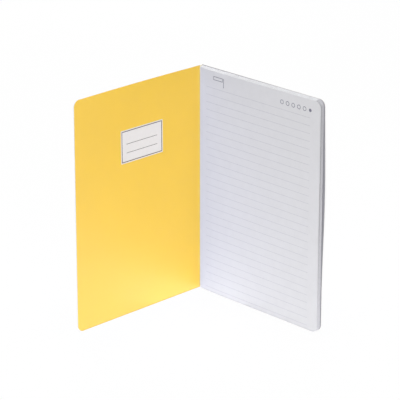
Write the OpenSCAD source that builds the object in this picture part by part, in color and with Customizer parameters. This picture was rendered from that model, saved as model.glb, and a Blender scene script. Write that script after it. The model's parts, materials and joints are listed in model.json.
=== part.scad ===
// Lined notebook: a thin softcover book with a square spine, standing open on its foot.
// Row frame: +Z up along the spine, the reader on the -Y side, and the origin on the
// floor in the middle of the footprint. Lengths are in millimetres, angles in degrees.
// Block frame, used below: u runs from the spine to the fore-edge of the pages,
// and v runs from the first page through the block to the back cover.

/* [Cover] */
// Trimmed width, from the back of the spine to the fore-edge
cover_w = 148; // [100:1:220]
// Trimmed height of the cover and the pages
cover_h = 210; // [140:1:300]
// Thickness of the cover card
card_t = 0.45; // [0.3:0.05:0.8]
// Radius of the rounded corners at the fore-edge
corner_r = 6; // [3:0.5:15]
// How much fatter than the card the rolled fold is, on each side
fold_swell = 0.08; // [0.04:0.01:0.2]
// Distance from each fold to its pressed score line
score_inset = 7.5; // [4:0.5:14]
// Radius of the rule that presses the score line
score_r = 0.8; // [0.5:0.1:2]
// Depth of the score line
score_depth = 0.12; // [0.05:0.01:0.2]

/* [Pages] */
// Number of leaves in the block
leaf_count = 40; // [30:1:120]
// Thickness of one leaf, with the air around it
leaf_t = 0.1; // [0.08:0.005:0.15]
// How far the first page sinks where it rolls into the gutter
gutter_drop = 1.2; // [0.4:0.1:1.8]
// Length of the page that rolls into the gutter
gutter_run = 24; // [12:1:40]
// Thickness of the glue on the spine
glue_t = 0.4; // [0.2:0.05:1]

/* [Ruling] */
// Distance from one ruled line to the next
line_pitch = 7; // [5:0.5:12]
// Width of a ruled line
line_w = 0.35; // [0.2:0.05:0.8]
// Distance from the head of the page to the first line
line_head = 17; // [15:0.5:30]
// Least distance from the last line to the foot of the page
line_foot = 3.5; // [2:0.5:20]
// Distance from the spine to the start of the lines
line_inset = 8.5; // [5:0.5:20]
// Blank margin between the lines and the fore-edge
line_margin = 12; // [5:0.5:30]
// Thickness of every printed field
print_t = 0.05; // [0.03:0.01:0.08]

/* [Header] */
// Distance from the spine to the date box
date_inset = 18; // [10:0.5:30]
// Width of the date box
date_w = 11.5; // [6:0.5:20]
// Height of the date box
date_h = 3.4; // [2:0.2:6]
// Distance from the head of the page to the date box
date_head = 5.8; // [3:0.2:8]
// Gap between the date box and the upright stroke
stroke_gap = 0.9; // [0.4:0.1:3]
// Height of the upright stroke
stroke_h = 8.4; // [4:0.2:9]
// Width of the strokes in the header
header_line = 0.5; // [0.3:0.05:0.8]
// Number of small marks in the row, the last a solid dot
mark_count = 6; // [3:1:8]
// Distance from one small mark to the next
mark_pitch = 6.65; // [5:0.05:9]
// Outer diameter of a ring mark
mark_d = 4; // [2:0.1:4.8]
// Diameter of the solid dot
dot_d = 3; // [1.5:0.1:4.5]
// Distance from the head of the page to the middle of the row of marks
mark_head = 10.3; // [8:0.1:12]

/* [Name panel] */
// Width of the white field
panel_w = 50; // [30:1:70]
// Height of the white field
panel_h = 30; // [20:0.5:45]
// Distance from the fore-edge to the middle of the field
panel_edge = 79; // [50:1:90]
// Distance from the head of the cover to the middle of the field
panel_head = 54.5; // [35:0.5:80]
// Radius of the field's corners
panel_r = 0.8; // [0.3:0.1:2]
// Bare border between the field's edge and its frame line
frame_inset = 0.9; // [0.5:0.1:2.5]
// Width of the frame line
frame_line = 0.7; // [0.2:0.05:1]
// Number of writing lines
writing_count = 2; // [1:1:3]
// Distance from one writing line to the next
writing_pitch = 8; // [4:0.5:9]
// Width of a writing line
writing_line = 0.4; // [0.2:0.05:0.8]
// Gap between the frame line and the ends of the writing lines
writing_inset = 5; // [2:0.5:10]

/* [Pose] */
// Angle between the front cover and the first page
opening = 88.5; // [30:0.5:150]
// Angle between the back cover and the pages
stand_off = 0.3; // [0.2:0.1:3]
// Turn of the pages away from the row's X axis
block_yaw = 46.3; // [20:0.1:70]

/* [Clearances] */
// Air between the facing printed fields when a cover is shut
shut_air = 0.2; // [0.1:0.05:0.5]
// Running clearance between a rolled fold and the spine strip
fold_air = 0.12; // [0.05:0.01:0.3]

/* [Hidden] */

$fn = 64;
// Facets of the wide roll, which spans only a few degrees
roll_fn = 1080;
// Overshoot of cutting tools
over = 1;

card_colour = "#f7d067";
paper_colour = "#dcdde3";
glue_colour = "#e8e1cc";
line_colour = "#c4c6d0";
mark_colour = "#8d8e99";
panel_colour = "#e9e9ec";
frame_colour = "#85808f";

page_t = leaf_count * leaf_t;
page_w = cover_w - card_t - glue_t;
fold_r = card_t / 2 + fold_swell;
// The roll is an arc tangent to the flat page: r from its rise and its run
gutter_r = (gutter_run * gutter_run + gutter_drop * gutter_drop) / (2 * gutter_drop);

// The folds: both lie in the middle plane of the spine strip, and far enough out that
// a shut cover lies parallel to the pages, clear of the print on both
shut_gap = shut_air + 3 * print_t;
hinge_u = -glue_t - card_t / 2;
front_hinge_v = -shut_gap - card_t / 2;
back_hinge_v = page_t + shut_gap + card_t / 2;
cover_reach = page_w - hinge_u;

strip_low_v = front_hinge_v + fold_r + fold_air;
strip_high_v = back_hinge_v - fold_r - fold_air;

line_count = floor((cover_h - line_head - line_foot) / line_pitch) + 1;

// Points of the block and of each cover's own frame, turned into the row's directions
function from_block(u, v) =
    [u * cos(block_yaw) + v * sin(block_yaw), v * cos(block_yaw) - u * sin(block_yaw)];
function from_front(s, n) =
    from_block(hinge_u + s * cos(opening) + n * sin(opening),
               front_hinge_v + n * cos(opening) - s * sin(opening));
function from_back(s, n) =
    from_block(hinge_u + s * cos(stand_off) - n * sin(stand_off),
               back_hinge_v + s * sin(stand_off) + n * cos(stand_off));

// Everything that can touch the sides of the footprint, to find its middle
fold_reach = [[fold_r, 0], [-fold_r, 0], [0, fold_r], [0, -fold_r]];
corners = concat(
    [for (n = [-card_t, card_t] / 2) from_front(cover_reach, n)],
    [for (n = [-card_t, card_t] / 2) from_back(cover_reach, n)],
    [for (v = [0, page_t]) from_block(page_w, v)],
    [for (v = [strip_low_v, strip_high_v]) from_block(hinge_u - card_t / 2, v)],
    [for (reach = fold_reach) from_front(0, 0) + reach],
    [for (reach = fold_reach) from_back(0, 0) + reach]);
foot_x = (min([for (p = corners) p.x]) + max([for (p = corners) p.x])) / 2;
foot_y = (min([for (p = corners) p.y]) + max([for (p = corners) p.y])) / 2;

module in_block_frame() {
    translate([-foot_x, -foot_y, 0]) rotate([0, 0, -block_yaw]) children();
}

// s runs from the fold to the fore-edge, and the inner face is at +card_t / 2
module in_front_frame() {
    in_block_frame()
        translate([hinge_u, front_hinge_v, 0]) rotate([0, 0, -opening]) children();
}

// The same, with the inner face at -card_t / 2
module in_back_frame() {
    in_block_frame()
        translate([hinge_u, back_hinge_v, 0]) rotate([0, 0, stand_off]) children();
}

// Stands a flat outline upright and carries it along +Y from y, by depth
module upright(y, depth) {
    translate([0, y + depth, 0]) rotate([90, 0, 0]) linear_extrude(depth) children();
}

module corner_waste() {
    difference() {
        square(corner_r + over);
        circle(corner_r);
    }
}

// A leaf seen face on: straight at the spine, with rounded corners at the fore-edge
module leaf_outline(width) {
    difference() {
        square([width, cover_h]);
        translate([width - corner_r, cover_h - corner_r]) corner_waste();
        translate([width - corner_r, corner_r]) mirror([0, 1]) corner_waste();
    }
}

// The block seen from above, with its first page rolled down into the gutter
module block_section() {
    difference() {
        square([page_w, page_t]);
        difference() {
            translate([-over, -over]) square([gutter_run + over, gutter_drop + over]);
            translate([gutter_run, gutter_r]) circle(gutter_r, $fn = roll_fn);
        }
    }
}

// A skin of ink on the first page, as thick as the print everywhere
module ink_section() {
    difference() {
        translate([0, -print_t]) block_section();
        block_section();
    }
}

// Prints a flat outline, drawn in u and height, on the first page
module on_first_page() {
    intersection() {
        linear_extrude(cover_h) ink_section();
        upright(-over, page_t + over) children();
    }
}

// Prints a flat outline, drawn in s and height, on the inside of the front cover
module on_inner_cover(layer) {
    upright(card_t / 2 + layer * print_t, print_t) children();
}

module frame_outline(width, height, line) {
    difference() {
        square([width, height]);
        translate([line, line]) square([width - 2 * line, height - 2 * line]);
    }
}

module ring(outer_d, line) {
    difference() {
        circle(d = outer_d);
        circle(d = outer_d - 2 * line);
    }
}

// One panel of the card: a rolled fold on the hinge line, a flat panel, and a score
// line pressed into its outer face, which is on the side given as -1 or 1
module cover_panel(outer) {
    color(card_colour) difference() {
        union() {
            cylinder(r = fold_r, h = cover_h);
            upright(-card_t / 2, card_t) leaf_outline(cover_reach);
        }
        translate([score_inset, outer * (card_t / 2 + score_r - score_depth), -over])
            cylinder(r = score_r, h = cover_h + 2 * over);
    }
}

module front_cover() {
    in_front_frame() cover_panel(-1);
}

module back_cover() {
    in_back_frame() cover_panel(1);
}

module spine_strip() {
    color(card_colour) in_block_frame()
        translate([hinge_u - card_t / 2, strip_low_v, 0])
            cube([card_t, strip_high_v - strip_low_v, cover_h]);
}

module spine_adhesive() {
    color(glue_colour) in_block_frame()
        translate([-glue_t, gutter_drop, 0]) cube([glue_t, page_t - gutter_drop, cover_h]);
}

module page_block() {
    color(paper_colour) in_block_frame() intersection() {
        linear_extrude(cover_h) block_section();
        upright(-over, page_t + 2 * over) leaf_outline(page_w);
    }
}

module ruled_lines() {
    color(line_colour) in_block_frame() on_first_page()
        for (i = [0 : line_count - 1])
            translate([line_inset, cover_h - line_head - i * line_pitch - line_w / 2])
                square([page_w - line_margin - line_inset, line_w]);
}

module header_marks() {
    last_mark_u = page_w - line_margin;
    color(mark_colour) in_block_frame() on_first_page() {
        translate([date_inset, cover_h - date_head - date_h])
            frame_outline(date_w, date_h, header_line);
        translate([date_inset + date_w + stroke_gap, cover_h - date_head - stroke_h])
            square([header_line, stroke_h]);
        for (i = [1 : mark_count - 1])
            translate([last_mark_u - i * mark_pitch, cover_h - mark_head])
                ring(mark_d, header_line);
        translate([last_mark_u, cover_h - mark_head]) circle(d = dot_d);
    }
}

// Moves to the lower corner of the name panel nearest the fold
module at_name_panel() {
    translate([cover_reach - panel_edge - panel_w / 2, cover_h - panel_head - panel_h / 2])
        children();
}

module name_panel() {
    color(panel_colour) in_front_frame() on_inner_cover(0) at_name_panel() union() {
        translate([panel_r, 0]) square([panel_w - 2 * panel_r, panel_h]);
        translate([0, panel_r]) square([panel_w, panel_h - 2 * panel_r]);
        for (x = [panel_r, panel_w - panel_r], y = [panel_r, panel_h - panel_r])
            translate([x, y]) circle(panel_r);
    }
}

module panel_lines() {
    frame_w = panel_w - 2 * frame_inset;
    frame_h = panel_h - 2 * frame_inset;
    color(frame_colour) in_front_frame() on_inner_cover(1) at_name_panel()
        translate([frame_inset, frame_inset]) {
            frame_outline(frame_w, frame_h, frame_line);
            for (i = [1 : writing_count])
                translate([frame_line + writing_inset, i * writing_pitch])
                    square([frame_w - 2 * (frame_line + writing_inset), writing_line]);
        }
}

front_cover();
back_cover();
spine_strip();
spine_adhesive();
page_block();
ruled_lines();
header_marks();
name_panel();
panel_lines();
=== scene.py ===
"""Looks of a lined notebook: the folded card cover, the leaves, the print and the studio."""

import json
import math

import bpy
import numpy as np
from bpy.props import FloatProperty, FloatVectorProperty, IntProperty, PointerProperty
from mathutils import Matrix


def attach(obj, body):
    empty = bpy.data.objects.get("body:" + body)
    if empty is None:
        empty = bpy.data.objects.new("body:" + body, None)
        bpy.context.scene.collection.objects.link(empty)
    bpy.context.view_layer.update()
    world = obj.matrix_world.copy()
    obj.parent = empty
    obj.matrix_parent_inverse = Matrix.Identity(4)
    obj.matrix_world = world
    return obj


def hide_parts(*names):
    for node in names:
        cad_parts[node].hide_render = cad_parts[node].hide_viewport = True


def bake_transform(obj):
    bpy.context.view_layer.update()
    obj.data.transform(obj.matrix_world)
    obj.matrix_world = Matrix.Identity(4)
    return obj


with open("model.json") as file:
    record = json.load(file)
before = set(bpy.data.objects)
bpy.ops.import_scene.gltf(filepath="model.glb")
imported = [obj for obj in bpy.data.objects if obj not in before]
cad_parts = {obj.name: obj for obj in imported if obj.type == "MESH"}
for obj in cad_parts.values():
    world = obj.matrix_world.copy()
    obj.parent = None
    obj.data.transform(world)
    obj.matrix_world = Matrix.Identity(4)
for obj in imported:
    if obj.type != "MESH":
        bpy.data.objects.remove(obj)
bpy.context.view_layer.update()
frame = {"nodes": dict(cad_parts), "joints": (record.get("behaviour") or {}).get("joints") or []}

bl_info = {
    "name": "Lined notebook",
    "version": (1, 0, 0),
    "blender": (4, 5, 0),
    "location": "View3D > Sidebar > Notebook",
    "description": "Builds the cover, leaves, print and stage of a softcover notebook on its frame",
    "category": "Add Mesh",
}

MM = 0.001

# Book frame, in metres: u runs from the spine to the fore-edge, v from the first page to the
# back cover, and both start at the front fold. All of it is read from the frame.


def joint(name):
    """The frame's joint of that name."""
    return next(j for j in frame["joints"] if j["name"] == name)


def rest_angle(name):
    """Angle in radians between a joint's rest and its lower limit, where its cover is shut."""
    return math.radians(-joint(name)["range_deg"][0])


FRONT_HINGE = np.array(joint("front_fold")["pos_m"][:2])
BACK_HINGE = np.array(joint("back_fold")["pos_m"][:2])
HINGE_GAP = float(np.linalg.norm(BACK_HINGE - FRONT_HINGE))
THROUGH = (BACK_HINGE - FRONT_HINGE) / HINGE_GAP
ALONG = np.array((THROUGH[1], -THROUGH[0]))
OPENING = rest_angle("front_fold")
STAND_OFF = rest_angle("back_fold")


def to_row(u, v, z):
    """Row-frame points from book coordinates: the front fold plus u along and v through the block."""
    u, v, z = np.broadcast_arrays(u, v, z)
    plan = FRONT_HINGE + u[..., None] * ALONG + v[..., None] * THROUGH
    return np.concatenate([plan, z[..., None]], axis=-1)


def node_points(name):
    """Book coordinates u, v and z of the vertices of a CAD node."""
    mesh = frame["nodes"][name].data
    points = np.empty(3 * len(mesh.vertices))
    mesh.vertices.foreach_get("co", points)
    points = points.reshape(-1, 3)
    plan = points[:, :2] - FRONT_HINGE
    return plan @ ALONG, plan @ THROUGH, points[:, 2]


def panel_points(name):
    """Coordinates s, n and z of a node on the front cover: s from the fold, n towards the reader."""
    u, v, z = node_points(name)
    s = u * math.cos(OPENING) - v * math.sin(OPENING)
    n = u * math.sin(OPENING) + v * math.cos(OPENING)
    return s, n, z


def levels(values):
    """The separate values in an array, in order and rounded to a micrometre."""
    return np.unique(np.round(values, 6))


# Coordinates closer than this, in metres, count as the same
TOUCH = 1e-6
strip_u, _, strip_z = node_points("spine_strip")
page_u, page_v, _ = node_points("page_block")
cover_s, cover_n, cover_z = panel_points("front_cover")

HEIGHT = float(strip_z.max())
CARD_T = float(np.ptp(strip_u))
REACH = float(cover_s.max())
CORNER_R = REACH - float(cover_s[cover_z < TOUCH].max())
# Past the fold, only the pressed score line has points between the card's two faces
past_fold = cover_s > 4 * CARD_T
between_faces = np.abs(cover_n) < CARD_T / 2 - 10 * TOUCH
SCORE_AT = float(cover_s[past_fold & between_faces].mean())
PAGE_FROM, PAGE_TO = float(page_u.min()), float(page_u.max())
PAGE_FRONT, PAGE_BACK = float(page_v.min()), float(page_v.max())
GUTTER_RUN = float(page_u[page_v < PAGE_FRONT + TOUCH].min()) - PAGE_FROM
GUTTER_DROP = float(page_v[page_u < PAGE_FROM + TOUCH].min()) - PAGE_FRONT


class CoverSettings(bpy.types.PropertyGroup):
    """Form and colours of the folded card cover."""
    fold_radius: FloatProperty(
        name="Fold radius", description="Radius of a folded corner, at the middle of the card",
        default=0.5 * MM, min=0.2 * MM, max=2 * MM, precision=5, unit="LENGTH")
    fold_zone: FloatProperty(
        name="Fold zone", description="Length of card on each side of a fold line that bends with it",
        default=0.7 * MM, min=0.3 * MM, max=3 * MM, precision=5, unit="LENGTH")
    bow: FloatProperty(
        name="Bow", description="How far the front cover bows outwards at its head",
        default=1.2 * MM, min=0, max=5 * MM, precision=5, unit="LENGTH")
    warp: FloatProperty(
        name="Warp", description="How far the back cover's fore-edge warps off the pages at its widest",
        default=2.0 * MM, min=0, max=5 * MM, precision=5, unit="LENGTH")
    score_depth: FloatProperty(
        name="Score depth", description="Depth of the pressed score line",
        default=0.12 * MM, min=0, max=0.2 * MM, precision=5, unit="LENGTH")
    score_half: FloatProperty(
        name="Score half width", description="Half the width of the pressed score line",
        default=0.45 * MM, min=0.1 * MM, max=2 * MM, precision=5, unit="LENGTH")
    edge_round: FloatProperty(
        name="Edge rounding", description="Rounding of the cut edges of the card",
        default=0.05 * MM, min=0, max=0.1 * MM, precision=5, unit="LENGTH")
    gloss_roughness: FloatProperty(
        name="Gloss roughness", description="Roughness of the varnish on the printed face",
        default=0.36, min=0, max=1, subtype="FACTOR")
    gloss_index: FloatProperty(
        name="Gloss index", description="Refractive index of the varnish on the printed face",
        default=1.7, min=1, max=2.5)
    bounce_colour: FloatVectorProperty(
        name="Bounce", description="Colour that the printed card lends the light it passes on to the pages",
        subtype="COLOR", size=4, default=(0.68, 0.71, 0.94, 1), min=0, max=1)
    face_colour: FloatVectorProperty(
        name="Printed face", description="Yellow of the printed card", subtype="COLOR", size=4,
        default=(0.93, 0.578, 0.005, 1), min=0, max=1)
    rubbed_colour: FloatVectorProperty(
        name="Rubbed face", description="Colour of the printed card where it is rubbed", subtype="COLOR",
        size=4, default=(0.95, 0.74, 0.33, 1), min=0, max=1)
    core_colour: FloatVectorProperty(
        name="Card core", description="Colour of the card where it is cut", subtype="COLOR", size=4,
        default=(0.74, 0.73, 0.7, 1), min=0, max=1)
    # The inside of the back cover is painted a dark grey: painted shade for the shadow in the gap between
    # the leaves and the back cover
    shaded_bare_colour: FloatVectorProperty(
        name="Bare face", description="Colour of the unprinted inside of the back cover", subtype="COLOR",
        size=4, default=(0.49, 0.485, 0.53, 1), min=0, max=1)


class PageSettings(bpy.types.PropertyGroup):
    """Form and colours of the leaves and the glue that binds them."""
    leaf_count: IntProperty(
        name="Leaves", description="Number of leaves in the block", default=40, min=8, max=120)
    loose_air: FloatProperty(
        name="Loose air", description="Share of the block's thickness that is air between the leaves",
        default=0.12, min=0, max=0.4, subtype="FACTOR")
    break_air: FloatProperty(
        name="Breaks", description="Share of the thickness that opens in wider breaks between foot and head",
        default=0.17, min=0, max=0.3, subtype="FACTOR")
    stray: FloatProperty(
        name="Stray", description="How far single leaves stand back from the trimmed edges",
        default=0.06 * MM, min=0, max=0.5 * MM, precision=5, unit="LENGTH")
    head_slope: FloatProperty(
        name="Head slope", description="How much lower the first leaf's head stands than the last leaf's",
        default=1.2 * MM, min=0, max=3 * MM, precision=5, unit="LENGTH")
    head_sag: FloatProperty(
        name="Head sag", description="How much lower a leaf's head is at the spine than at the fore-edge",
        default=0.8 * MM, min=0, max=3 * MM, precision=5, unit="LENGTH")
    head_rise: FloatProperty(
        name="Head rise", description="How far the last leaf's head stands above the cover at the fore-edge",
        default=0.4 * MM, min=0, max=2 * MM, precision=5, unit="LENGTH")
    # Painted shade on the leaves' edges: how dark the band on the front leaves is, and how much every
    # fore-edge darkens towards its head
    edge_shade: FloatProperty(
        name="Soil", description="How much darker the edges of the most thumbed leaves are",
        default=0.7, min=0, max=1, subtype="FACTOR")
    head_shade: FloatProperty(
        name="Head soil", description="How much darker the fore-edge of every leaf grows towards its head",
        default=0.35, min=0, max=1, subtype="FACTOR")
    bound_run: FloatProperty(
        name="Bound run", description="Distance from the spine over which the leaves are held tight",
        default=60 * MM, min=5 * MM, max=140 * MM, unit="LENGTH")
    seed: IntProperty(
        name="Seed", description="Seed of the small differences between leaves", default=7, min=0)
    # The paper is painted a light grey, darker than white writing paper: painted shade for pages that get
    # less light than the cover
    shaded_paper_colour: FloatVectorProperty(
        name="Paper", description="Colour of the writing paper", subtype="COLOR", size=4,
        default=(0.692, 0.689, 0.7, 1), min=0, max=1)
    edge_colour: FloatVectorProperty(
        name="Leaf edges", description="Colour of the trimmed edges of the leaves", subtype="COLOR", size=4,
        default=(0.84, 0.845, 0.87, 1), min=0, max=1)
    # Painted shade: the fore-edge is darker than the other trimmed edges, for the shade between the leaves
    shaded_fore_edge_colour: FloatVectorProperty(
        name="Fore-edge", description="Colour of the leaves' edges where they are thumbed", subtype="COLOR",
        size=4, default=(0.675, 0.67, 0.715, 1), min=0, max=1)
    glue_colour: FloatVectorProperty(
        name="Glue", description="Colour of the dried binding glue", subtype="COLOR", size=4,
        default=(0.8, 0.75, 0.6, 1), min=0, max=1)


class PrintSettings(bpy.types.PropertyGroup):
    """Inks of the ruled page and of the name panel."""
    ruling_colour: FloatVectorProperty(
        name="Ruling", description="Ink of the ruled lines", subtype="COLOR", size=4,
        default=(0.535, 0.535, 0.568, 1), min=0, max=1)
    header_colour: FloatVectorProperty(
        name="Header", description="Ink of the marks above the ruling", subtype="COLOR", size=4,
        default=(0.16, 0.16, 0.22, 1), min=0, max=1)
    panel_colour: FloatVectorProperty(
        name="Name panel", description="White of the name panel", subtype="COLOR", size=4,
        default=(0.808, 0.78, 0.77, 1), min=0, max=1)
    frame_colour: FloatVectorProperty(
        name="Panel lines", description="Ink of the name panel's frame and writing lines", subtype="COLOR",
        size=4, default=(0.06, 0.04, 0.035, 1), min=0, max=1)


class StageSettings(bpy.types.PropertyGroup):
    """Floor, light and camera of the studio."""
    floor_size: FloatProperty(
        name="Floor size", description="Side of the floor", default=12, min=2, max=40, unit="LENGTH")
    floor_colour: FloatVectorProperty(
        name="Floor", description="Colour of the floor", subtype="COLOR", size=4,
        default=(0.9, 0.9, 0.9, 1), min=0, max=1)
    white_share: FloatProperty(
        name="White share", description="Share of plain white that the camera sees in the floor",
        default=0.92, min=0, max=1, subtype="FACTOR")
    sky: FloatProperty(
        name="Sky", description="Strength of the even light from all round", default=0.395, min=0, max=2)
    top_power: FloatProperty(
        name="Top light", description="Power of the soft light overhead", default=16.5, min=0, max=200,
        unit="POWER")
    front_power: FloatProperty(
        name="Front light", description="Power of the soft light beside the camera", default=14.2, min=0,
        max=200, unit="POWER")
    back_power: FloatProperty(
        name="Back light", description="Power of the soft light behind the book", default=12, min=0,
        max=200, unit="POWER")
    table_power: FloatProperty(
        name="Table light", description="Power of the lit table top before the book", default=0.12, min=0,
        max=50, unit="POWER")
    fold_power: FloatProperty(
        name="Fold light", description="Power of the lit table top between the cover and the page",
        default=0.005, min=0, max=5, precision=4, unit="POWER")
    lens: FloatProperty(
        name="Lens", description="Focal length of the camera in millimetres", default=207, min=20, max=400)
    pitch: FloatProperty(
        name="Pitch", description="How far the camera looks down", default=math.radians(19.905), min=0,
        max=math.radians(90), subtype="ANGLE")
    camera_place: FloatVectorProperty(
        name="Camera", description="Place of the camera", size=3, default=(0.0004, -1.8896, 0.787),
        subtype="TRANSLATION", unit="LENGTH")


# Node helpers


def feed(tree, socket, value):
    """Links a socket, or sets a plain value, on an input."""
    if isinstance(value, bpy.types.NodeSocket):
        tree.links.new(value, socket)
    else:
        socket.default_value = value


def put(tree, kind, options=None, **values):
    """Adds a shader node with its options set and its inputs fed; names take _ for a space."""
    made = tree.nodes.new("ShaderNode" + kind)
    for name, value in (options or {}).items():
        setattr(made, name, value)
    for name, value in values.items():
        feed(tree, made.inputs[name.replace("_", " ")], value)
    return made


def mix_colour(tree, factor, first, second):
    """A colour mix; its output is the colour."""
    made = put(tree, "Mix", {"data_type": "RGBA"}, Factor=factor)
    by_name = {socket.identifier: socket for socket in made.inputs}
    feed(tree, by_name["A_Color"], first)
    feed(tree, by_name["B_Color"], second)
    return next(socket for socket in made.outputs if socket.identifier == "Result_Color")


def remap(tree, value, low, high, start=0.0, end=1.0, smooth=False):
    """Maps a value from low..high to start..end, held at both ends."""
    options = {"interpolation_type": "SMOOTHSTEP" if smooth else "LINEAR"}
    made = put(tree, "MapRange", options, Value=value)
    for name, number in (("From Min", low), ("From Max", high), ("To Min", start), ("To Max", end)):
        feed(tree, made.inputs[name], number)
    return made.outputs["Result"]


def arithmetic(tree, operation, first, second):
    """One Math node with two inputs."""
    made = put(tree, "Math", {"operation": operation})
    feed(tree, made.inputs[0], first)
    feed(tree, made.inputs[1], second)
    return made.outputs[0]


def noise(tree, place, scale, detail=4.0, roughness=0.55):
    """Value of a noise texture."""
    made = put(tree, "TexNoise", Vector=place, Scale=scale, Detail=detail, Roughness=roughness)
    return made.outputs[0]


def new_group(name, inputs, outputs):
    """An empty shader node group with float sockets, and its two end nodes."""
    group = bpy.data.node_groups.new(name, "ShaderNodeTree")
    for label, value in inputs.items():
        socket = group.interface.new_socket(label, in_out="INPUT", socket_type="NodeSocketFloat")
        socket.default_value = value
    for label in outputs:
        group.interface.new_socket(label, in_out="OUTPUT", socket_type="NodeSocketFloat")
    return group, group.nodes.new("NodeGroupInput"), group.nodes.new("NodeGroupOutput")


def sheet_grain():
    """Group for paper and card: a broad cloud, short fibres, and the height of the surface's tooth."""
    name = "sheet_grain"
    if name in bpy.data.node_groups:
        return bpy.data.node_groups[name]
    group, given, result = new_group(
        name, {"Tooth Scale": 2500, "Cloud Scale": 25}, ("Cloud", "Fibre", "Height"))
    place = put(group, "TexCoord").outputs["Object"]
    cloud = noise(group, place, given.outputs["Cloud Scale"], detail=3)
    tooth = noise(group, place, given.outputs["Tooth Scale"], detail=3, roughness=0.6)
    lying = put(group, "Mapping", Vector=place, Scale=(1, 1, 0.22), Rotation=(0.5, 0.35, 0.2)).outputs[0]
    fibre_scale = arithmetic(group, "MULTIPLY", given.outputs["Tooth Scale"], 0.45)
    fibre = remap(group, noise(group, lying, fibre_scale, detail=2), 0.35, 0.72)
    feed(group, result.inputs["Cloud"], remap(group, cloud, 0.3, 0.7))
    feed(group, result.inputs["Fibre"], fibre)
    tooth_part = arithmetic(group, "MULTIPLY", tooth, 0.6)
    fibre_part = arithmetic(group, "MULTIPLY", fibre, 0.4)
    feed(group, result.inputs["Height"], arithmetic(group, "ADD", tooth_part, fibre_part))
    return group


def handled_wear():
    """Group for edge wear: the piece's own wear attribute, uneven along its length and finely broken."""
    name = "handled_wear"
    if name in bpy.data.node_groups:
        return bpy.data.node_groups[name]
    group, given, result = new_group(name, {"Break Scale": 900, "Amount": 0.5}, ("Wear",))
    place = put(group, "TexCoord").outputs["Object"]
    worn = put(group, "Attribute", {"attribute_name": "wear"}).outputs["Fac"]
    broken = noise(group, place, given.outputs["Break Scale"], detail=4, roughness=0.65)
    patch_scale = arithmetic(group, "MULTIPLY", given.outputs["Break Scale"], 0.04)
    patch = remap(group, noise(group, place, patch_scale, detail=2), 0.35, 0.65, 0.2, 1.0)
    flecks = remap(group, broken, 0.3, 0.7, 0.6, 1.0)
    depth = arithmetic(group, "MULTIPLY", worn, arithmetic(group, "MULTIPLY", patch, flecks))
    rubbed = remap(group, depth, 0.08, 0.8, smooth=True)
    feed(group, result.inputs["Wear"], arithmetic(group, "MULTIPLY", rubbed, given.outputs["Amount"]))
    return group


def use_group(tree, group, **values):
    """Places a node group in a material with its own values."""
    made = tree.nodes.new("ShaderNodeGroup")
    made.node_tree = group
    for name, value in values.items():
        feed(tree, made.inputs[name.replace("_", " ")], value)
    return made.outputs


def new_material(name):
    """A material with only a Principled shader and its output, its node tree and that shader."""
    material = bpy.data.materials.new(name)
    material.use_nodes = True
    tree = material.node_tree
    tree.nodes.clear()
    shader = put(tree, "BsdfPrincipled")
    output = put(tree, "OutputMaterial")
    tree.links.new(shader.outputs["BSDF"], output.inputs["Surface"])
    return material, tree, shader


def scaled(colour, factor):
    """A colour made lighter or darker, opaque and held at 1 in every channel."""
    return [min(1.0, channel * factor) for channel in colour[:3]] + [1.0]


def roughen(tree, shader, height, low, high, strength, depth):
    """Roughness between low and high over the tooth, and a bump of that depth in metres."""
    feed(tree, shader.inputs["Roughness"], remap(tree, height, 0.3, 0.7, low, high))
    bump = put(tree, "Bump", Height=height, Strength=strength, Distance=depth)
    feed(tree, shader.inputs["Normal"], bump.outputs["Normal"])


def clouded(tree, grain, colour, low, high):
    """A colour that clouds between two shades of itself, given as factors."""
    return mix_colour(tree, grain["Cloud"], scaled(colour, low), scaled(colour, high))


def fibred(tree, grain, ground, start, share, fibre_colour):
    """A ground with up to a share of another colour on the fibres stronger than start."""
    return mix_colour(tree, remap(tree, grain["Fibre"], start, 1, 0, share), ground, fibre_colour)


# Finishes


def printed_card(cover):
    """Smooth card printed yellow and varnished, faintly clouded, rubbed paler at its folds and edges.

    To light that it passes on to the pages it has the bounce colour instead."""
    material, tree, shader = new_material("printed_card")
    grain = use_group(tree, sheet_grain(), Tooth_Scale=2600, Cloud_Scale=26)
    wear = use_group(tree, handled_wear(), Break_Scale=1400, Amount=0.6)
    yellow = clouded(tree, grain, cover.face_colour, 0.985, 1.015)
    flecked = fibred(tree, grain, yellow, 0.7, 0.1, scaled(cover.face_colour, 1.1))
    worn = mix_colour(tree, wear["Wear"], flecked, cover.rubbed_colour)
    passed_on = put(tree, "LightPath").outputs["Is Diffuse Ray"]
    feed(tree, shader.inputs["Base Color"], mix_colour(tree, passed_on, worn, cover.bounce_colour))
    shader.inputs["Coat Weight"].default_value = 1.0
    shader.inputs["Coat Roughness"].default_value = cover.gloss_roughness
    shader.inputs["Coat IOR"].default_value = cover.gloss_index
    roughen(tree, shader, grain["Height"], low=0.4, high=0.52, strength=0.15, depth=0.03 * MM)
    return material


def cut_card(cover):
    """Cut edge of the card: pale, rough pulp."""
    material, tree, shader = new_material("cut_card")
    grain = use_group(tree, sheet_grain(), Tooth_Scale=5200, Cloud_Scale=180)
    dark, light = scaled(cover.core_colour, 0.88), scaled(cover.core_colour, 1.05)
    feed(tree, shader.inputs["Base Color"], mix_colour(tree, grain["Fibre"], dark, light))
    roughen(tree, shader, grain["Height"], low=0.85, high=0.95, strength=0.4, depth=0.05 * MM)
    return material


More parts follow.
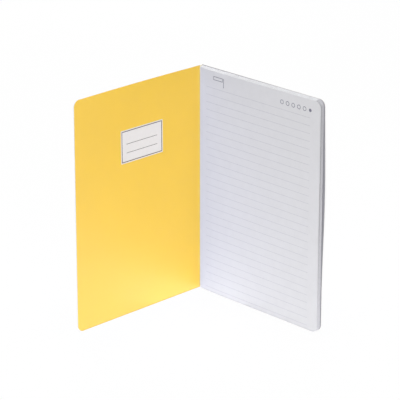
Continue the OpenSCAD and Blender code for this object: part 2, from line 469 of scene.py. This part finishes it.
def bare_card(cover):
    """Unprinted inside of the back cover: smooth board painted a dark grey that is painted shade for the gap
    by the leaves, rubbed to the core at its edges.
    """
    material, tree, shader = new_material("bare_card")
    grain = use_group(tree, sheet_grain(), Tooth_Scale=2400, Cloud_Scale=30)
    wear = use_group(tree, handled_wear(), Break_Scale=1100, Amount=0.3)
    # The board's dark grey is painted shade
    board = clouded(tree, grain, cover.shaded_bare_colour, 0.97, 1.02)
    fibres = fibred(tree, grain, board, 0.6, 0.15, scaled(cover.shaded_bare_colour, 0.9))
    feed(tree, shader.inputs["Base Color"], mix_colour(tree, wear["Wear"], fibres, cover.core_colour))
    roughen(tree, shader, grain["Height"], low=0.6, high=0.72, strength=0.2, depth=0.03 * MM)
    return material


def writing_paper(pages):
    """Uncoated writing paper, with a soft cloud in its look-through and short fibres, in a grey that is
    painted shade.
    """
    material, tree, shader = new_material("writing_paper")
    grain = use_group(tree, sheet_grain(), Tooth_Scale=3200, Cloud_Scale=140)
    paper = clouded(tree, grain, pages.shaded_paper_colour, 0.985, 1.01)
    fibres = fibred(tree, grain, paper, 0.55, 0.25, scaled(pages.shaded_paper_colour, 0.94))
    feed(tree, shader.inputs["Base Color"], fibres)
    shader.inputs["Specular IOR Level"].default_value = 0.25
    roughen(tree, shader, grain["Height"], low=0.8, high=0.92, strength=0.25, depth=0.03 * MM)
    return material


def trimmed_edge(name, colour, shade_factor):
    """Guillotined edges of the leaves, rougher than their faces, and darker where their random tone and
    painted shade lie.
    """
    material, tree, shader = new_material(name)
    grain = use_group(tree, sheet_grain(), Tooth_Scale=6000, Cloud_Scale=420)
    edge = clouded(tree, grain, colour, 0.93, 1.03)
    fibres = fibred(tree, grain, edge, 0.4, 0.4, scaled(colour, 0.85))
    # On the leaves the wear attribute holds their random tone and their painted shade
    darkened = put(tree, "Attribute", {"attribute_name": "wear"}).outputs["Fac"]
    feed(tree, shader.inputs["Base Color"], mix_colour(tree, darkened, fibres, scaled(colour, shade_factor)))
    shader.inputs["Specular IOR Level"].default_value = 0.2
    roughen(tree, shader, grain["Height"], low=0.88, high=0.97, strength=0.4, depth=0.04 * MM)
    return material


def printed_ink(name, colour, ground, patchy):
    """Ink on paper: a colour that clouds and thins out over the fibres, where the ground shows."""
    material, tree, shader = new_material(name)
    grain = use_group(tree, sheet_grain(), Tooth_Scale=5200, Cloud_Scale=300)
    spread = 0.01 + 0.12 * patchy
    ink = clouded(tree, grain, colour, 1 - spread, 1 + spread)
    feed(tree, shader.inputs["Base Color"], fibred(tree, grain, ink, 0.35, patchy, ground))
    roughen(tree, shader, grain["Height"], low=0.55, high=0.75, strength=0.2, depth=0.02 * MM)
    return material


def binding_glue(pages):
    """Dried hot glue: smooth, slightly glossy and unevenly spread."""
    material, tree, shader = new_material("binding_glue")
    grain = use_group(tree, sheet_grain(), Tooth_Scale=700, Cloud_Scale=260)
    feed(tree, shader.inputs["Base Color"], clouded(tree, grain, pages.glue_colour, 0.9, 1.05))
    roughen(tree, shader, grain["Height"], low=0.25, high=0.45, strength=0.5, depth=0.1 * MM)
    return material


# Sheets

# Angle between two faces from which their edge is drawn sharp
SHARP_FROM = math.radians(40)


def rounded_rows(height, radius, arc_steps, straight_steps):
    """Heights of the rows of a sheet with rounded corners, and how far its side stands back at each.

    The corner is a quarter circle: at angle a from the foot its height is r (1 - cos a) and its
    inset is r (1 - sin a). The head mirrors the foot, and the stretch between has no inset."""
    angle = np.linspace(0, np.pi / 2, arc_steps)
    corner_z = radius * (1 - np.cos(angle))
    corner_inset = radius * (1 - np.sin(angle))
    straight = np.linspace(radius, height - radius, straight_steps)[1:-1]
    z = np.concatenate([corner_z, straight, height - corner_z[::-1]])
    inset = np.concatenate([corner_inset, np.zeros_like(straight), corner_inset[::-1]])
    return z, inset


def stretched_columns(fixed, far_end, steps):
    """Stations of every row: the fixed ones, then steps that close up towards the row's own end.

    The last stretch is q = 1 - (1 - k)^2 for k from 0 to 1, so its steps shrink to the edge."""
    share = 1 - (1 - np.linspace(0, 1, steps)[1:]) ** 2
    start = fixed[-1]
    tail = start + share[None, :] * (far_end[:, None] - start)
    return np.concatenate([np.broadcast_to(fixed, (len(far_end), len(fixed))), tail], axis=1)


def smooth_step(value):
    """3 t^2 - 2 t^3 of a value held between 0 and 1."""
    t = np.clip(value, 0, 1)
    return t * t * (3 - 2 * t)


def sheet_faces(rows, columns):
    """Quads of one closed sheet, and which are right, left, rim and fore-edge (0, 1, 2, 3).

    The right face's grid comes first in the vertices and the left face's second. The rim joins the
    two along the grid's border, and its stretch on the last column is the fore-edge."""
    grid = np.arange(rows * columns).reshape(rows, columns)
    right = np.stack([grid[:-1, :-1], grid[:-1, 1:], grid[1:, 1:], grid[1:, :-1]], -1).reshape(-1, 4)
    left = right[:, ::-1] + grid.size
    border = np.concatenate([grid[0, :-1], grid[:-1, -1], grid[-1, :0:-1], grid[:0:-1, 0]])
    after = np.roll(border, -1)
    rim = np.stack([after, border, border + grid.size, after + grid.size], -1)
    runs = [len(right), len(left), columns - 1, rows - 1, columns - 1, rows - 1]
    side = np.repeat([0, 1, 2, 3, 2, 2], runs)
    return np.concatenate([right, left, rim]), side


def sheets_object(name, right, left, materials, wear=None):
    """One object of closed sheets; right and left are arrays of sheet, row, column and xyz.

    materials are those of the right face, the left face, the rim and the fore-edge."""
    count, rows, columns = right.shape[:3]
    points = np.stack([right, left], axis=1).reshape(-1, 3)
    quads, side = sheet_faces(rows, columns)
    offsets = np.arange(count)[:, None, None] * (2 * rows * columns)
    faces = (quads[None] + offsets).reshape(-1, 4)
    kinds = list(dict.fromkeys(materials))
    slots = np.array([kinds.index(material) for material in materials])
    mesh = bpy.data.meshes.new(name)
    mesh.vertices.add(len(points))
    mesh.vertices.foreach_set("co", points.ravel())
    mesh.loops.add(faces.size)
    mesh.loops.foreach_set("vertex_index", faces.ravel().astype(np.int32))
    mesh.polygons.add(len(faces))
    mesh.polygons.foreach_set("loop_start", np.arange(0, faces.size, 4, dtype=np.int32))
    mesh.polygons.foreach_set("material_index", np.tile(slots[side], count).astype(np.int32))
    mesh.polygons.foreach_set("use_smooth", np.ones(len(faces), dtype=bool))
    for material in kinds:
        mesh.materials.append(material)
    # The wear attribute holds the card's wear on the cover, and the random tone and painted shade of the
    # edges on the leaves
    if wear is not None:
        attribute = mesh.attributes.new("wear", "FLOAT", "POINT")
        both_faces = np.broadcast_to(wear[:, None], (count, 2, rows, columns))
        attribute.data.foreach_set("value", both_faces.ravel().astype(np.float32))
    mesh.update(calc_edges=True)
    if mesh.validate():
        raise RuntimeError(f"{name} has faces that can't stand")
    mesh.set_sharp_from_angle(angle=SHARP_FROM)
    piece = bpy.data.objects.new(name, mesh)
    bpy.context.scene.collection.objects.link(piece)
    return piece


# Cover

# Rows of the card on each corner's arc and on the straight between them
CARD_ROWS = (10, 20)
# Stations along the card: on the strip, over the fold, up to the score, over it, past it and at the edge
STRIP_STEPS, FOLD_STEPS, LEAD_STEPS, SCORE_STEPS, PANEL_STEPS, EDGE_STEPS = 4, 15, 6, 11, 16, 9
# Height of the back cover's widest warp and how far it spreads, as shares of the cover's height
WARP_AT, WARP_SPREAD = 0.6, 0.45
# How worn the card is at a fold, the score and a cut edge, and how far that reaches from each
FOLD_WEAR, FOLD_WEAR_REACH = 0.75, 0.6 * MM
SCORE_WEAR, SCORE_WEAR_REACH = 0.3, 0.5 * MM
EDGE_WEAR, EDGE_WEAR_REACH = 0.5, 0.35 * MM
# How worn the rounded corners are, and the share of the corner's radius that stays clean
CORNER_WEAR, CORNER_CLEAN = 0.5, 0.6
# Angle between two faces from which their edge is rounded
BEVEL_FROM = math.radians(50)


def cover_bow(cover, s, z):
    """Outward bow of the front cover: half a sine over the reach, times (z / height)^1.5."""
    across = np.sin(np.pi * np.clip(s / REACH, 0, 1))
    return cover.bow * across * np.clip(z / HEIGHT, 0, 1) ** 1.5


def cover_warp(cover, s, z):
    """Outward warp of the back cover: s^2 towards its fore-edge, cos^2 about a little above mid-height."""
    across = np.clip(s / REACH, 0, 1) ** 2
    up = np.clip((z / HEIGHT - WARP_AT) / WARP_SPREAD, -1, 1)
    return cover.warp * across * np.cos(np.pi / 2 * up) ** 2


def folded_line(x, start_angle, turn, radius):
    """Middle line of the folded card, as u, v from the hinge, and its direction, at distance x.

    x is measured from the sharp fold line, negative on the spine strip. The line is straight up to
    T = r tan(turn / 2) before the fold, turns as an arc of radius r, and runs straight on after it."""
    tangent = radius * math.tan(abs(turn) / 2)
    angle = start_angle + turn * np.clip((x + tangent) / (2 * tangent), 0, 1)
    bend = math.copysign(radius, turn)
    end_angle = start_angle + turn
    before = np.minimum(x + tangent, 0) - tangent
    after = np.maximum(x - tangent, 0)
    turned_u = bend * (np.sin(angle) - math.sin(start_angle))
    turned_v = bend * (math.cos(start_angle) - np.cos(angle))
    u = before * math.cos(start_angle) + turned_u + after * math.cos(end_angle)
    v = before * math.sin(start_angle) + turned_v + after * math.sin(end_angle)
    return u, v, angle


def score_groove(cover, x):
    """Depth of the score line: a cosine hollow, depth cos^2, within its half width."""
    across = np.clip((x - SCORE_AT) / cover.score_half, -1, 1)
    return cover.score_depth * np.cos(np.pi / 2 * across) ** 2


def card_wear(x, z):
    """How worn the card is, from 0 to 1.

    Bells exp(-d^2) lie along the fold and the score line, the cut edges have a fall exp(-d), with d in
    reaches from each, and the rounded corners have a smooth step."""
    to_end = np.minimum(z, HEIGHT - z)
    edge = np.minimum(to_end, x[:, -1:] - x)
    corner = np.hypot(np.maximum(x - (REACH - CORNER_R), 0), np.maximum(CORNER_R - to_end, 0))
    wear = FOLD_WEAR * np.exp(-(x / FOLD_WEAR_REACH) ** 2)
    wear = wear + SCORE_WEAR * np.exp(-((x - SCORE_AT) / SCORE_WEAR_REACH) ** 2)
    wear = wear + EDGE_WEAR * np.exp(-edge / EDGE_WEAR_REACH)
    wear = wear + CORNER_WEAR * smooth_step(corner / CORNER_R - CORNER_CLEAN)
    return np.clip(wear, 0, 1)


def card_half(cover, hinge_v, start_angle, turn, inner, bulge):
    """Right and left faces of half the cover, and how worn each point is.

    The middle line starts in the middle of the spine strip and is carried up the height. Each face is
    half the card away from it along its normal; inner is 1 where the left face is the inside, or -1.
    bulge gives how far the panel stands outwards."""
    zone = cover.fold_zone
    strip = np.linspace(-HINGE_GAP / 2, -zone, STRIP_STEPS)[:-1]
    fold = np.linspace(-zone, zone, FOLD_STEPS)
    score = SCORE_AT + cover.score_half * np.linspace(-1, 1, SCORE_STEPS)
    lead = np.linspace(zone, score[0], LEAD_STEPS)[1:-1]
    panel = np.linspace(score[-1], REACH - 2 * CORNER_R, PANEL_STEPS)[1:]
    z, inset = rounded_rows(HEIGHT, CORNER_R, *CARD_ROWS)
    x = stretched_columns(np.concatenate([strip, fold, lead, score, panel]), REACH - inset, EDGE_STEPS)
    z = np.broadcast_to(z[:, None], x.shape)
    u, v, angle = folded_line(x, start_angle, turn, cover.fold_radius)
    bow = bulge(cover, x, z)
    groove = score_groove(cover, x)
    inside = CARD_T / 2 + groove / 4 - bow
    outside = CARD_T / 2 - groove + bow
    faces = []
    for away in ((-outside, inside) if inner > 0 else (-inside, outside)):
        faces.append(to_row(u - away * np.sin(angle), hinge_v + v + away * np.cos(angle), z))
    return faces[0][None], faces[1][None], card_wear(x, z)[None]


def soften_edges(piece, width):
    """Rounds the cut edges with a Bevel modifier."""
    bevel = piece.modifiers.new("soft_edges", "BEVEL")
    bevel.width = width
    bevel.segments = 2
    bevel.limit_method = "ANGLE"
    bevel.angle_limit = BEVEL_FROM


def plan_point(hinge_v, angle, distance):
    """Row-frame point at a distance from a hinge in a direction of the book frame, at the floor."""
    return tuple(to_row(distance * math.cos(angle), hinge_v + distance * math.sin(angle), 0.0))


class NOTEBOOK_OT_fold_cover(bpy.types.Operator):
    """Builds the folded card cover as two halves that meet in the middle of the spine strip"""
    bl_idname = "notebook.fold_cover"
    bl_label = "Fold the cover"

    def execute(self, context):
        cover = context.scene.notebook_cover
        printed, cut, shaded_bare = printed_card(cover), cut_card(cover), bare_card(cover)
        quarter = math.pi / 2
        halves = (
            ("cover_front", "front_board", 0.0, -quarter, quarter - OPENING, 1, cover_bow,
             (printed, printed, cut, cut), ("front_cover", "spine_strip")),
            ("cover_back", "back_board", HINGE_GAP, quarter, STAND_OFF - quarter, -1, cover_warp,
             (shaded_bare, printed, cut, cut), ("back_cover",)),
        )
        for name, board, hinge_v, start, turn, inner, bulge, materials, nodes in halves:
            right, left, wear = card_half(cover, hinge_v, start, turn, inner, bulge)
            piece = sheets_object(name, right, left, materials, wear)
            soften_edges(piece, cover.edge_round)
            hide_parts(*nodes)
            plan_point(hinge_v, start, -cover.fold_zone)
            plan_point(hinge_v, start + turn, cover.fold_zone)
            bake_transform(piece)
        return {"FINISHED"}


# Pages

# Rows of a leaf on each corner's arc and on the straight between them
LEAF_ROWS = (8, 14)
# Stations along a leaf: over the gutter's roll, on the flat and at the fore-edge
ROLL_STEPS, FLAT_STEPS, FORE_STEPS = 9, 6, 5
# Wider breaks: the place of the leaf before each in the block, and its share of their air
BREAKS = ((0.06, 0.8), (0.55, 0.2))
# Edge tone: the most random tone that a leaf has of its own, and the middle and spread in the block
# of the leaves near the front whose edges get a band of painted shade
OWN_TONE = 0.25
SHADE_BAND_AT, SHADE_BAND_SPREAD = 0.17, 0.11
# How dark a wholly darkened edge is, as a factor on the plain one, at the fore-edge and at the other
# edges: painted shade, darkest at the fore-edge
FORE_EDGE_SHADED, TRIM_SHADED = 0.55, 0.97


def gutter_roll(u):
    """How far the first page sinks at u: the arc r - sqrt(r^2 - d^2), d short of the roll's end."""
    radius = (GUTTER_RUN ** 2 + GUTTER_DROP ** 2) / (2 * GUTTER_DROP)
    short = np.clip(GUTTER_RUN - (u - PAGE_FROM), 0, GUTTER_RUN)
    return radius - np.sqrt(radius ** 2 - short ** 2)


def leaf_shares(pages, z):
    """Where each leaf's front and back lie at the fore-edge, as shares of the block's thickness.

    The air is split into uneven gaps. Wider breaks open up the height h in a smooth step of 2.2 h - 0.1
    and close in another over twice the corner's radius below the head. The leaves share what is left, so
    front k is the sum of the leaves and gaps before it."""
    count = pages.leaf_count
    draw = np.random.default_rng(pages.seed)
    loose = draw.exponential(1.0, count - 1)
    gaps = np.broadcast_to(pages.loose_air * (loose / loose.sum())[:, None], (count - 1, len(z))).copy()
    from_foot = smooth_step(2.2 * z / HEIGHT - 0.1)
    from_head = smooth_step((HEIGHT - z) / (2 * CORNER_R))
    opened = pages.break_air * from_foot * from_head
    for place, part in BREAKS:
        gaps[int(place * count)] += part * opened
    leaf = (1 - gaps.sum(axis=0)) / count
    before = np.concatenate([np.zeros((1, len(z))), np.cumsum(gaps, axis=0)])
    front = before + np.arange(count)[:, None] * leaf
    return front, front + leaf


def leaf_stack(pages):
    """Front and back faces of all the leaves, as arrays of leaf, row, column and xyz.

    At u the block runs from the rolled first page to its back. A leaf has an even share of that at the
    spine and its own share at the fore-edge, with a smooth step between, and its edges stray inwards.
    The last leaf's head stands above the cover by the rise at the fore-edge. Heads are lower by the
    slope, which falls from the first leaf to the last, and by the sag, which falls from the spine to the
    fore-edge, both in a straight line."""
    count = pages.leaf_count
    z, inset = rounded_rows(HEIGHT, CORNER_R, *LEAF_ROWS)
    roll_to = PAGE_FROM + GUTTER_RUN
    rolled = np.linspace(PAGE_FROM, roll_to, ROLL_STEPS)
    flat = np.linspace(roll_to, PAGE_TO - 2 * CORNER_R, FLAT_STEPS)[1:]
    u = stretched_columns(np.concatenate([rolled, flat]), PAGE_TO - inset, FORE_STEPS)
    draw = np.random.default_rng(pages.seed + 1)
    stray = pages.stray * draw.random((count, 3)) ** 2
    stray[[0, -1]] = 0
    u = u[None] - stray[:, 0, None, None] * smooth_step((u - roll_to) / (PAGE_TO - roll_to))[None]
    later = np.linspace(0, 1, count)[:, None, None]
    drop = pages.head_slope * (1 - later) + pages.head_sag * (PAGE_TO - u) / (PAGE_TO - PAGE_FROM)
    low = stray[:, 1, None, None]
    high = HEIGHT - stray[:, 2, None, None] - drop + pages.head_rise
    z_leaf = low + z[:, None] / HEIGHT * (high - low)
    front_share, back_share = leaf_shares(pages, z)
    loosened = smooth_step((u - PAGE_FROM) / pages.bound_run)
    top = PAGE_FRONT + gutter_roll(u)
    depth = PAGE_BACK - top
    order = np.arange(count)[:, None, None]
    faces = []
    for even, own in ((order, front_share), (order + 1, back_share)):
        share = even / count + loosened * (own[:, :, None] - even / count)
        faces.append(to_row(u, top + share * depth, z_leaf))
    return faces


def leaf_tone_and_shade(pages, columns):
    """How dark each leaf's edge is painted, as an array of leaf, row and column.

    Every leaf has its own small random share of tone. The most shaded leaves, near the front, have more,
    a band of painted shade: a bell exp(-d^2), with d in spreads from their middle, that fades out towards
    the foot in a smooth step of 2 h - 0.2 over the height h. Another step, of (h - 0.55) / 0.35, adds the
    head shade, painted shade towards the head, to every leaf."""
    count = pages.leaf_count
    place = np.arange(count) / count
    own = OWN_TONE * np.random.default_rng(pages.seed + 2).random(count)
    shaded = pages.edge_shade * np.exp(-((place - SHADE_BAND_AT) / SHADE_BAND_SPREAD) ** 2)
    z, _ = rounded_rows(HEIGHT, CORNER_R, *LEAF_ROWS)
    towards_head = pages.head_shade * smooth_step((z / HEIGHT - 0.55) / 0.35)
    # Random tone, plus painted shade in the band and towards the head
    edge_shade = own[:, None] + shaded[:, None] * smooth_step(2 * z / HEIGHT - 0.2) + towards_head
    return np.broadcast_to(np.clip(edge_shade, 0, 1)[:, :, None], (count, len(z), columns))


class NOTEBOOK_OT_stack_pages(bpy.types.Operator):
    """Builds the leaves of the block, each a thin closed sheet"""
    bl_idname = "notebook.stack_pages"
    bl_label = "Stack the pages"

    def execute(self, context):
        pages = context.scene.notebook_pages
        front, back = leaf_stack(pages)
        paper = writing_paper(pages)
        trimmed = trimmed_edge("trimmed_edge", pages.edge_colour, TRIM_SHADED)
        # The fore-edge's finish is painted shade, darker than the other edges
        shaded_fore = trimmed_edge("handled_edge", pages.shaded_fore_edge_colour, FORE_EDGE_SHADED)
        materials = (paper, paper, trimmed, shaded_fore)
        piece = sheets_object("page_leaves", front, back, materials, leaf_tone_and_shade(pages, front.shape[2]))
        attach(piece, "pages")
        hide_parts("page_block")
        return {"FINISHED"}


def dress_node(name, material):
    """Gives a carried-over CAD node its finish."""
    mesh = frame["nodes"][name].data
    mesh.materials.clear()
    mesh.materials.append(material)


class NOTEBOOK_OT_bind_spine(bpy.types.Operator):
    """Finishes the glue between the leaves and the spine strip"""
    bl_idname = "notebook.bind_spine"
    bl_label = "Bind the spine"

    def execute(self, context):
        dress_node("spine_adhesive", binding_glue(context.scene.notebook_pages))
        return {"FINISHED"}


# Print

# Stations across a printed field, and rows up a printed line
PRINT_STEPS = 25
# Rows of the name panel on each corner's arc and on the straight between them
PANEL_ROWS = (7, 20)


class NOTEBOOK_OT_rule_pages(bpy.types.Operator):
    """Finishes the ruled lines and the marks above them"""
    bl_idname = "notebook.rule_pages"
    bl_label = "Rule the pages"

    def execute(self, context):
        # The inks thin out to the paper's painted-shade grey
        inks, paper = context.scene.notebook_print, context.scene.notebook_pages.shaded_paper_colour
        dress_node("ruled_lines", printed_ink("ruling_ink", inks.ruling_colour, paper, 0.35))
        dress_node("header_marks", printed_ink("header_ink", inks.header_colour, paper, 0.25))
        return {"FINISHED"}


def cover_print(cover, low_s, high_s, z, node):
    """Two faces of printed fields on the inside of the bowed front cover.

    Each field is a grid over its s and z, moved along the cover's normal by the bow; the two faces
    have the depths of the CAD node's own. The limits are arrays of field and row, and so is z."""
    k = np.linspace(0, 1, PRINT_STEPS)
    s = low_s[:, :, None] + k * (high_s - low_s)[:, :, None]
    z = np.broadcast_to(z[:, :, None], s.shape)
    depth = levels(panel_points(node)[1])
    faces = []
    for n in (depth.min(), depth.max()):
        away = n - cover_bow(cover, s, z)
        u = s * math.cos(OPENING) + away * math.sin(OPENING)
        v = away * math.cos(OPENING) - s * math.sin(OPENING)
        faces.append(to_row(u, v, z))
    return faces


class NOTEBOOK_OT_print_panel(bpy.types.Operator):
    """Builds the white name panel and its lines on the inside of the front cover"""
    bl_idname = "notebook.print_panel"
    bl_label = "Print the name panel"

    def execute(self, context):
        cover, inks = context.scene.notebook_cover, context.scene.notebook_print
        s, _, z = panel_points("name_panel")
        radius = float(s[z < z.min() + TOUCH].min() - s.min())
        rows, inset = rounded_rows(float(np.ptp(z)), radius, *PANEL_ROWS)
        field = [(s.min() + inset)[None], (s.max() - inset)[None], (z.min() + rows)[None]]
        s, _, z = panel_points("panel_lines")
        # The first and last two levels are the frame's edges, and the writing lines' lie between them
        across, up = levels(s), levels(z)
        rules = [(across[2], across[-3], up[i], up[i + 1]) for i in range(2, len(up) - 2, 2)]
        border = [(across[0], across[-1], up[0], up[1]), (across[0], across[-1], up[-2], up[-1]),
                  (across[0], across[1], up[1], up[-2]), (across[-2], across[-1], up[1], up[-2])]
        low_s, high_s, low_z, high_z = np.array(rules + border).T[:, :, None]
        k = np.linspace(0, 1, PRINT_STEPS)
        lines = [low_s + 0 * k, high_s + 0 * k, low_z + k * (high_z - low_z)]
        white = printed_ink("panel_white", inks.panel_colour, cover.face_colour, 0.03)
        dark = printed_ink("panel_ink", inks.frame_colour, inks.panel_colour, 0.2)
        for name, limits, material, slot in (("name_panel", field, white, "panel_white"),
                                             ("panel_lines", lines, dark, "panel_ink")):
            right, left = cover_print(cover, *limits, name)
            piece = sheets_object(name + "_print", right, left, (material,) * 4)
            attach(piece, "front_board")
            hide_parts(name)
        return {"FINISHED"}


# Stage

# Soft lights turned to the book's middle: name, setting of the power, place and side in metres
LAMPS = (
    ("top_light", "top_power", (0, 0, 1.6), 1.2),
    ("front_light", "front_power", (0.2, -2.0, 0.6), 1.0),
    ("back_light", "back_power", (-0.2, 2.0, 0.6), 1.0),
)
# Lit squares of the table top, which shine straight up
GLOWS = (
    ("table_light", "table_power", (0, -0.05, 0.5 * MM), 0.3),
    ("fold_light", "fold_power", (0, 0.02, 0.5 * MM), 0.08),
)


def seen_ray(tree):
    """1 where a ray comes from the camera, a reflection or a transmission, and 0 elsewhere."""
    path = put(tree, "LightPath").outputs
    mirrored = arithmetic(tree, "MAXIMUM", path["Is Glossy Ray"], path["Is Transmission Ray"])
    return arithmetic(tree, "MAXIMUM", path["Is Camera Ray"], mirrored)


def floor_finish(stage):
    """Pale matt floor that looks white to the camera and in reflections, and still takes the shadow."""
    material, tree, shader = new_material("studio_floor")
    feed(tree, shader.inputs["Base Color"], stage.floor_colour)
    shader.inputs["Roughness"].default_value = 0.9
    shader.inputs["Specular IOR Level"].default_value = 0.1
    white = put(tree, "Emission", Strength=1.0)
    blend = put(tree, "MixShader")
    feed(tree, blend.inputs[0], arithmetic(tree, "MULTIPLY", seen_ray(tree), stage.white_share))
    tree.links.new(shader.outputs["BSDF"], blend.inputs[1])
    tree.links.new(white.outputs[0], blend.inputs[2])
    tree.links.new(blend.outputs[0], tree.nodes["Material Output"].inputs["Surface"])
    return material


def make_floor(stage):
    """Flat square floor under the book."""
    half = stage.floor_size / 2
    corners = np.array([(-half, -half, 0), (half, -half, 0), (half, half, 0), (-half, half, 0)])
    mesh = bpy.data.meshes.new("studio_floor")
    mesh.from_pydata(corners.tolist(), [], [(0, 1, 2, 3)])
    mesh.materials.append(floor_finish(stage))
    floor = bpy.data.objects.new("studio_floor", mesh)
    bpy.context.scene.collection.objects.link(floor)


def make_sky(stage):
    """World of even white light; the camera and reflections see it as plain white."""
    world = bpy.data.worlds.new("studio_sky")
    world.use_nodes = True
    tree = world.node_tree
    tree.nodes.clear()
    shine = put(tree, "Background", Strength=stage.sky)
    plain = put(tree, "Background", Strength=1.0)
    for background in (shine, plain):
        background.inputs["Color"].default_value = (1, 1, 1, 1)
    blend = put(tree, "MixShader")
    feed(tree, blend.inputs[0], seen_ray(tree))
    tree.links.new(shine.outputs[0], blend.inputs[1])
    tree.links.new(plain.outputs[0], blend.inputs[2])
    output = put(tree, "OutputWorld")
    tree.links.new(blend.outputs[0], output.inputs["Surface"])
    bpy.context.scene.world = world


def make_light(name, place, target, size, power):
    """Square area light at a place, turned to a target, that the camera doesn't see."""
    lamp = bpy.data.lights.new(name, "AREA")
    lamp.size = size
    lamp.energy = power
    light = bpy.data.objects.new(name, lamp)
    direction = np.array(target) - np.array(place)
    across = math.hypot(direction[0], direction[1])
    light.rotation_euler = (math.atan2(across, -direction[2]), 0, math.atan2(-direction[0], direction[1]))
    light.location = place
    light.visible_camera = False
    bpy.context.scene.collection.objects.link(light)


class NOTEBOOK_OT_set_stage(bpy.types.Operator):
    """Makes the floor, the light and the camera"""
    bl_idname = "notebook.set_stage"
    bl_label = "Set the stage"

    def execute(self, context):
        stage = context.scene.notebook_stage
        make_floor(stage)
        make_sky(stage)
        middle = (0, 0, HEIGHT / 2)
        for name, power, place, side in LAMPS:
            make_light(name, place, middle, side, getattr(stage, power))
        for name, power, place, side in GLOWS:
            make_light(name, place, (place[0], place[1], 1), side, getattr(stage, power))
        camera = bpy.data.objects.new("camera", bpy.data.cameras.new("camera"))
        camera.data.lens = stage.lens
        camera.location = stage.camera_place
        camera.rotation_euler = (math.pi / 2 - stage.pitch, 0, 0)
        context.scene.collection.objects.link(camera)
        context.scene.camera = camera
        context.scene.view_settings.view_transform = "Standard"
        return {"FINISHED"}


class NOTEBOOK_PT_build(bpy.types.Panel):
    """Lists the notebook's settings and the steps that build it"""
    bl_idname = "NOTEBOOK_PT_build"
    bl_label = "Lined notebook"
    bl_space_type = "VIEW_3D"
    bl_region_type = "UI"
    bl_category = "Notebook"

    def draw(self, context):
        for group in SETTINGS:
            box = self.layout.box()
            settings = getattr(context.scene, group)
            for name in settings.__annotations__:
                box.prop(settings, name)
        for step in STEPS:
            self.layout.operator(step.bl_idname)


SETTINGS = {
    "notebook_cover": CoverSettings,
    "notebook_pages": PageSettings,
    "notebook_print": PrintSettings,
    "notebook_stage": StageSettings,
}
STEPS = (NOTEBOOK_OT_fold_cover, NOTEBOOK_OT_stack_pages, NOTEBOOK_OT_bind_spine,
         NOTEBOOK_OT_rule_pages, NOTEBOOK_OT_print_panel, NOTEBOOK_OT_set_stage)
CLASSES = (*SETTINGS.values(), *STEPS, NOTEBOOK_PT_build)


def register():
    """Registers the classes and hangs the settings on the scene."""
    for part in CLASSES:
        bpy.utils.register_class(part)
    for name, group in SETTINGS.items():
        setattr(bpy.types.Scene, name, PointerProperty(type=group))


def unregister():
    """Takes the settings and the classes away again."""
    for name in SETTINGS:
        delattr(bpy.types.Scene, name)
    for part in reversed(CLASSES):
        bpy.utils.unregister_class(part)


def main():
    """Builds the notebook and its stage."""
    register()
    bpy.ops.notebook.fold_cover()
    bpy.ops.notebook.stack_pages()
    bpy.ops.notebook.bind_spine()
    bpy.ops.notebook.rule_pages()
    bpy.ops.notebook.print_panel()
    bpy.ops.notebook.set_stage()


if __name__ == "__main__":
    main()
